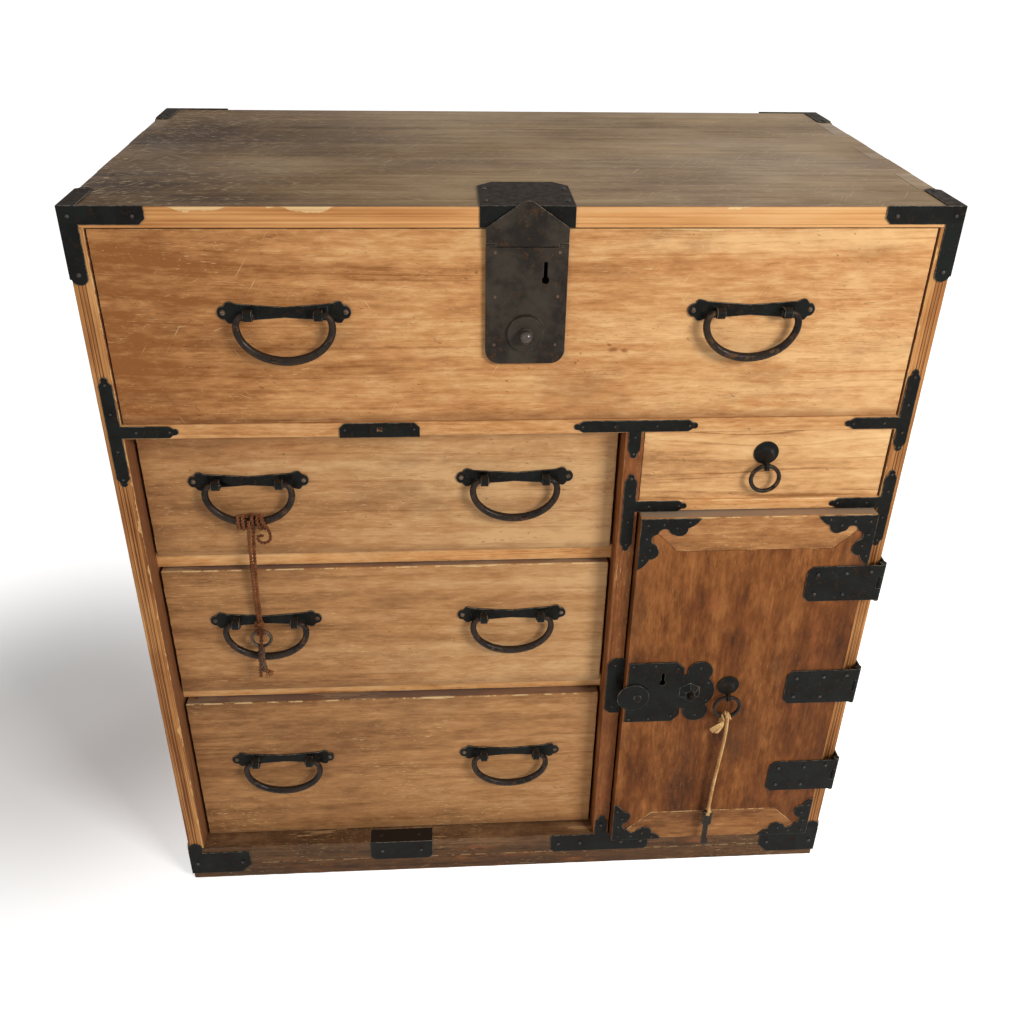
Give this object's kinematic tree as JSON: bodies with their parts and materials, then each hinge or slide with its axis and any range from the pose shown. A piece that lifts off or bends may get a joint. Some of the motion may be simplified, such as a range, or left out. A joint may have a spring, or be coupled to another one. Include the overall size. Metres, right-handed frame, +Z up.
{
  "type": "clothing chest",
  "caption": "Wooden clothing chest with iron fittings: a wide locked drawer over three drawers, a small drawer and a hinged cupboard door.",
  "frame": {"origin": "middle of the underside of the case, on the floor", "axes": "+Z up, -Y towards the front with the drawers and the door, +X to the viewer's right"},
  "size_m": [0.9139, 0.5318, 0.973],
  "materials": {
    "top_wood": "dark aged waxed wood",
    "side_wood": "orange brown waxed wood",
    "base_wood": "dark worn wood",
    "back_wood": "bare wood",
    "rail_wood": "striped waxed wood",
    "sill_wood": "dark worn wood",
    "divider_wood": "orange brown waxed wood",
    "inner_wood": "bare paulownia wood",
    "door_wood": "red brown waxed wood",
    "batten_wood": "waxed wood",
    "figured_wood": "figured waxed wood",
    "drawer_wood": "golden waxed wood",
    "black_iron": "forged blackened iron",
    "brown_iron": "forged brown black iron",
    "handle_iron": "forged dark iron",
    "rusty_iron": "rusty iron",
    "key_iron": "forged iron",
    "key_cord": "twisted tan string",
    "tie_cord": "twisted brown string"
  },
  "bodies": {
    "root": {"top_board": "top_wood", "left_side": "side_wood", "right_side": "side_wood", "base_board": "base_wood", "back_planks": "back_wood", "upper_rail": "rail_wood", "base_rail": "sill_wood", "centre_divider": "divider_wood", "inner_rails": "rail_wood", "dust_boards": "inner_wood", "corner_straps": "black_iron", "tee_straps": "black_iron", "lock_bar_plates": "black_iron", "lock_strikes": "black_iron", "hinge_case_leaves": "black_iron", "hinge_pins": "black_iron", "case_nails": "black_iron"},
    "door": {"door_boards": "door_wood", "door_battens": "batten_wood", "door_corner_irons": "black_iron", "hinge_door_leaves": "black_iron", "door_lock_plate": "black_iron", "door_ring_mount": "black_iron", "door_nails": "black_iron"},
    "door_lock_knob": {"door_lock_knob": "black_iron"},
    "door_bolt": {"door_bolt": "black_iron"},
    "door_turn_disc": {"door_turn_disc": "black_iron"},
    "door_ring": {"door_ring": "handle_iron"},
    "key_on_cord": {"key_cord": "key_cord", "door_key": "key_iron"},
    "top_drawer": {"top_drawer_front": "drawer_wood", "top_drawer_box": "inner_wood", "top_drawer_handle_mounts": "black_iron", "top_lock_plate": "brown_iron"},
    "top_lock_knob": {"top_lock_knob": "black_iron"},
    "top_lock_bolt": {"top_lock_bolt": "black_iron"},
    "top_lock_hasp": {"top_lock_hasp": "brown_iron"},
    "upper_drawer": {"upper_drawer_front": "drawer_wood", "upper_drawer_box": "inner_wood", "upper_drawer_handle_mounts": "black_iron"},
    "middle_drawer": {"middle_drawer_front": "drawer_wood", "middle_drawer_box": "inner_wood", "middle_drawer_handle_mounts": "black_iron"},
    "lower_drawer": {"lower_drawer_front": "drawer_wood", "lower_drawer_box": "inner_wood", "lower_drawer_handle_mounts": "black_iron"},
    "small_drawer": {"small_drawer_front": "figured_wood", "small_drawer_box": "inner_wood", "small_drawer_ring_mount": "black_iron"},
    "small_drawer_ring": {"small_drawer_ring": "handle_iron"},
    "top_drawer_bail_left": {"top_drawer_bail_left": "handle_iron"},
    "top_drawer_bail_right": {"top_drawer_bail_right": "handle_iron"},
    "upper_drawer_bail_left": {"upper_drawer_bail_left": "handle_iron"},
    "upper_drawer_bail_right": {"upper_drawer_bail_right": "handle_iron"},
    "middle_drawer_bail_left": {"middle_drawer_bail_left": "handle_iron"},
    "middle_drawer_bail_right": {"middle_drawer_bail_right": "handle_iron"},
    "lower_drawer_bail_left": {"lower_drawer_bail_left": "handle_iron"},
    "lower_drawer_bail_right": {"lower_drawer_bail_right": "handle_iron"},
    "tie_on_bail": {"tie_cord": "tie_cord", "cord_ring": "rusty_iron"}
  },
  "joints": [
    {"name": "top_drawer_slide", "type": "slide", "parent": "root", "child": "top_drawer", "axis": [0, -1, 0], "range_m": [0, 0.35]},
    {"name": "upper_drawer_slide", "type": "slide", "parent": "root", "child": "upper_drawer", "axis": [0, -1, 0], "range_m": [0, 0.35]},
    {"name": "middle_drawer_slide", "type": "slide", "parent": "root", "child": "middle_drawer", "axis": [0, -1, 0], "range_m": [0, 0.35], "deforming": ["tie_cord"]},
    {"name": "lower_drawer_slide", "type": "slide", "parent": "root", "child": "lower_drawer", "axis": [0, -1, 0], "range_m": [0, 0.35]},
    {"name": "small_drawer_slide", "type": "slide", "parent": "root", "child": "small_drawer", "axis": [0, -1, 0], "range_m": [0, 0.35]},
    {"name": "top_drawer_bail_left_swing", "type": "hinge", "parent": "top_drawer", "child": "top_drawer_bail_left", "pos_m": [-0.2465, -0.2585, 0.8569], "axis": [-1, 0, 0], "range_deg": [0, 150]},
    {"name": "top_drawer_bail_right_swing", "type": "hinge", "parent": "top_drawer", "child": "top_drawer_bail_right", "pos_m": [0.2465, -0.2585, 0.8569], "axis": [-1, 0, 0], "range_deg": [0, 150]},
    {"name": "upper_drawer_bail_left_swing", "type": "hinge", "parent": "upper_drawer", "child": "upper_drawer_bail_left", "pos_m": [-0.31026, -0.2345, 0.6439], "axis": [-1, 0, 0], "range_deg": [0, 150]},
    {"name": "upper_drawer_bail_right_swing", "type": "hinge", "parent": "upper_drawer", "child": "upper_drawer_bail_right", "pos_m": [-0.00126, -0.2345, 0.6439], "axis": [-1, 0, 0], "range_deg": [0, 150]},
    {"name": "middle_drawer_bail_left_swing", "type": "hinge", "parent": "middle_drawer", "child": "middle_drawer_bail_left", "pos_m": [-0.31026, -0.2345, 0.4439], "axis": [-1, 0, 0], "range_deg": [0, 150], "deforming": ["tie_cord"]},
    {"name": "middle_drawer_bail_right_swing", "type": "hinge", "parent": "middle_drawer", "child": "middle_drawer_bail_right", "pos_m": [-0.00126, -0.2345, 0.4439], "axis": [-1, 0, 0], "range_deg": [0, 150]},
    {"name": "lower_drawer_bail_left_swing", "type": "hinge", "parent": "lower_drawer", "child": "lower_drawer_bail_left", "pos_m": [-0.31126, -0.2345, 0.2064], "axis": [-1, 0, 0], "range_deg": [0, 150]},
    {"name": "lower_drawer_bail_right_swing", "type": "hinge", "parent": "lower_drawer", "child": "lower_drawer_bail_right", "pos_m": [-0.00026, -0.2345, 0.2064], "axis": [-1, 0, 0], "range_deg": [0, 150]},
    {"name": "door_hinge", "type": "hinge", "parent": "root", "child": "door", "pos_m": [0.4523, -0.2613, 0.3355], "axis": [0, 0, 1], "range_deg": [0, 175]},
    {"name": "door_lock_knob_turn", "type": "hinge", "parent": "door", "child": "door_lock_knob", "pos_m": [0.23049, -0.2635, 0.3405], "axis": [0, 1, 0], "range_deg": [0, 90]},
    {"name": "door_bolt_slide", "type": "slide", "parent": "door", "child": "door_bolt", "axis": [-1, 0, 0], "range_m": [0, 0.012]},
    {"name": "door_disc_turn", "type": "hinge", "parent": "door", "child": "door_turn_disc", "pos_m": [0.16199, -0.2635, 0.3345], "axis": [0, -1, 0], "range_deg": [0, 180]},
    {"name": "door_ring_swing", "type": "hinge", "parent": "door", "child": "door_ring", "pos_m": [0.28099, -0.2735, 0.3365], "axis": [-1, 0, 0], "range_deg": [0, 150]},
    {"name": "key_swing", "type": "hinge", "parent": "door_ring", "child": "key_on_cord", "pos_m": [0.28099, -0.2735, 0.3035], "axis": [-1, 0, 0], "range_deg": [-150, 0]},
    {"name": "top_lock_knob_turn", "type": "hinge", "parent": "top_drawer", "child": "top_lock_knob", "pos_m": [0.0045, -0.2485, 0.834], "axis": [0, -1, 0], "range_deg": [0, 90]},
    {"name": "top_lock_bolt_slide", "type": "slide", "parent": "top_drawer", "child": "top_lock_bolt", "axis": [0, 0, 1], "range_m": [0, 0.01]},
    {"name": "top_lock_hasp_swing", "type": "hinge", "parent": "top_drawer", "child": "top_lock_hasp", "pos_m": [0.0045, -0.2511, 0.928], "axis": [1, 0, 0], "range_deg": [0, 120]},
    {"name": "small_drawer_ring_swing", "type": "hinge", "parent": "small_drawer", "child": "small_drawer_ring", "pos_m": [0.28824, -0.2555, 0.6703], "axis": [-1, 0, 0], "range_deg": [0, 150]},
    {"name": "tie_swing", "type": "hinge", "parent": "upper_drawer_bail_left", "child": "tie_on_bail", "pos_m": [-0.31026, -0.2345, 0.5939], "axis": [-1, 0, 0], "range_deg": [-150, 0]}
  ],
  "couplings": [
    {"joint": "door_lock_knob_turn", "follows": "door_bolt_slide", "rad_per_m": 130.89},
    {"joint": "key_swing", "follows": "door_ring_swing", "ratio": -1},
    {"joint": "top_lock_knob_turn", "follows": "top_lock_bolt_slide", "rad_per_m": 157.07},
    {"joint": "tie_swing", "follows": "upper_drawer_bail_left_swing", "ratio": -1}
  ]
}
